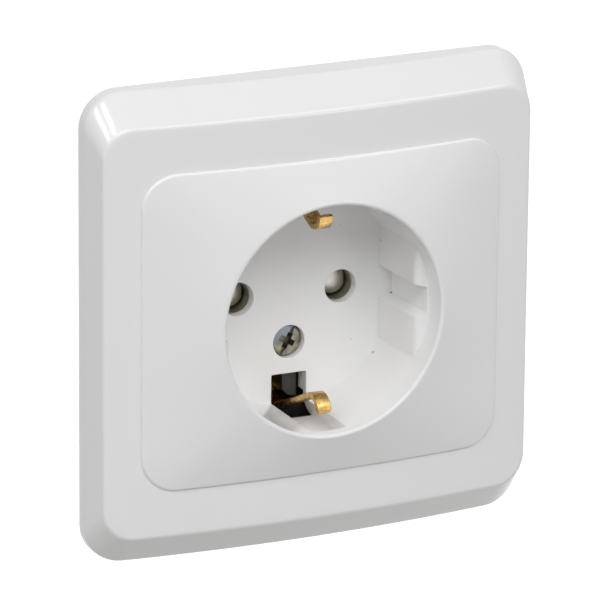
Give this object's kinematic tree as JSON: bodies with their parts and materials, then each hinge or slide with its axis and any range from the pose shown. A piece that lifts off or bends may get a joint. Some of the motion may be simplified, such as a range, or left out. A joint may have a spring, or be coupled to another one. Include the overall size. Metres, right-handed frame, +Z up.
{
  "type": "wall socket",
  "caption": "Flush type F wall socket: arched square cover frame, raised centre plate with a round plug recess, pin holes, spring earth clips and a wired base behind.",
  "frame": {"origin": "on the axis of the plug recess, in the plane of the wall", "axes": "+X to the viewer's right, +Z up, +Y into the wall; the front faces -Y"},
  "size_m": [0.0806, 0.0403, 0.0806],
  "materials": {
    "white_thermoplastic": "gloss",
    "anthracite_thermoset": "satin",
    "zinc_plated_plate": "satin",
    "zinc_plated_fastener": "satin",
    "brass_strip": "satin",
    "brass_turned": "satin",
    "nickel_plated_brass": "satin",
    "spring_steel": "satin"
  },
  "bodies": {
    "root": {"cover_frame": "white_thermoplastic", "centre_plate": "white_thermoplastic", "cover_screw": "zinc_plated_fastener", "support_plate": "zinc_plated_plate", "base": "anthracite_thermoset", "cover_screw_bush": "brass_turned", "earth_strap": "brass_strip", "earth_clamp_plate": "zinc_plated_fastener", "earth_terminal_screw": "zinc_plated_fastener", "line_contact": "nickel_plated_brass", "line_contact_spring": "spring_steel", "line_clamp_plate": "zinc_plated_fastener", "line_upper_terminal_screw": "zinc_plated_fastener", "line_lower_terminal_screw": "zinc_plated_fastener", "neutral_contact": "nickel_plated_brass", "neutral_contact_spring": "spring_steel", "neutral_clamp_plate": "zinc_plated_fastener", "neutral_upper_terminal_screw": "zinc_plated_fastener", "neutral_lower_terminal_screw": "zinc_plated_fastener", "upper_left_rivet": "zinc_plated_fastener", "upper_right_rivet": "zinc_plated_fastener", "lower_left_rivet": "zinc_plated_fastener", "lower_right_rivet": "zinc_plated_fastener"}
  },
  "joints": []
}
